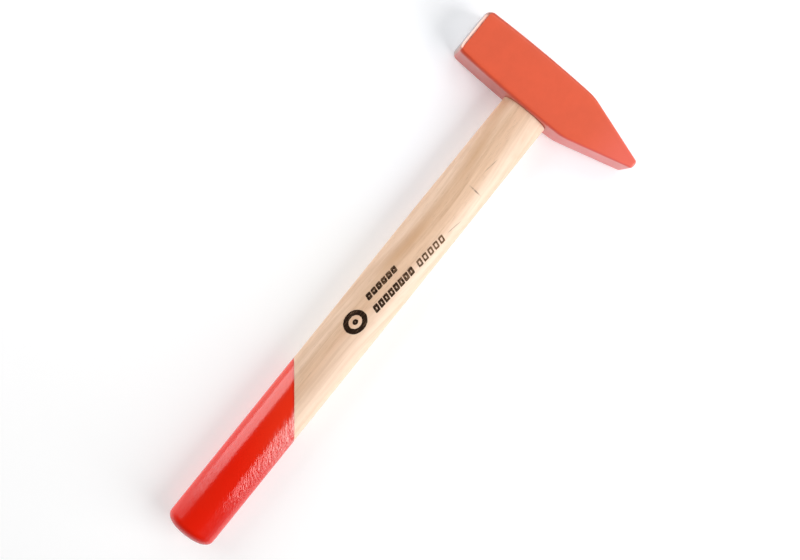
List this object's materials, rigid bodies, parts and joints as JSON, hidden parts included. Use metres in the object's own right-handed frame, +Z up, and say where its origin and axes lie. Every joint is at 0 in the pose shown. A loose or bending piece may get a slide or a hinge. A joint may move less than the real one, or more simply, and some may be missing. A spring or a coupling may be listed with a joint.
{
  "type": "cross-peen hammer",
  "caption": "Cross-peen hammer with an enamelled forged head, bare striking face and straight oval wooden handle dipped in gloss enamel at the grip.",
  "frame": {"origin": "on the flat side that the head rests on, straight below the middle of the head's eye", "axes": "+X along the handle from its butt to the head, +Y towards the striking face, +Z up through the head's two flat sides"},
  "size_m": [0.3017, 0.1065, 0.025],
  "materials": {
    "head_enamel": "orange-red enamel, semi-gloss, over forged steel",
    "bare_steel": "ground bright steel",
    "handle_wood": "pale, smooth sanded, close straight grain",
    "grip_enamel": "red gloss enamel dipped over the wood",
    "print_ink": "black ink, matt",
    "wedge_wood": "plain hardwood, end grain",
    "wedge_steel": "plain mild steel, dull"
  },
  "bodies": {
    "root": {"head": "head_enamel", "handle": "handle_wood", "wooden_wedge": "wedge_wood", "steel_wedge_1": "wedge_steel", "steel_wedge_2": "wedge_steel"}
  },
  "joints": []
}
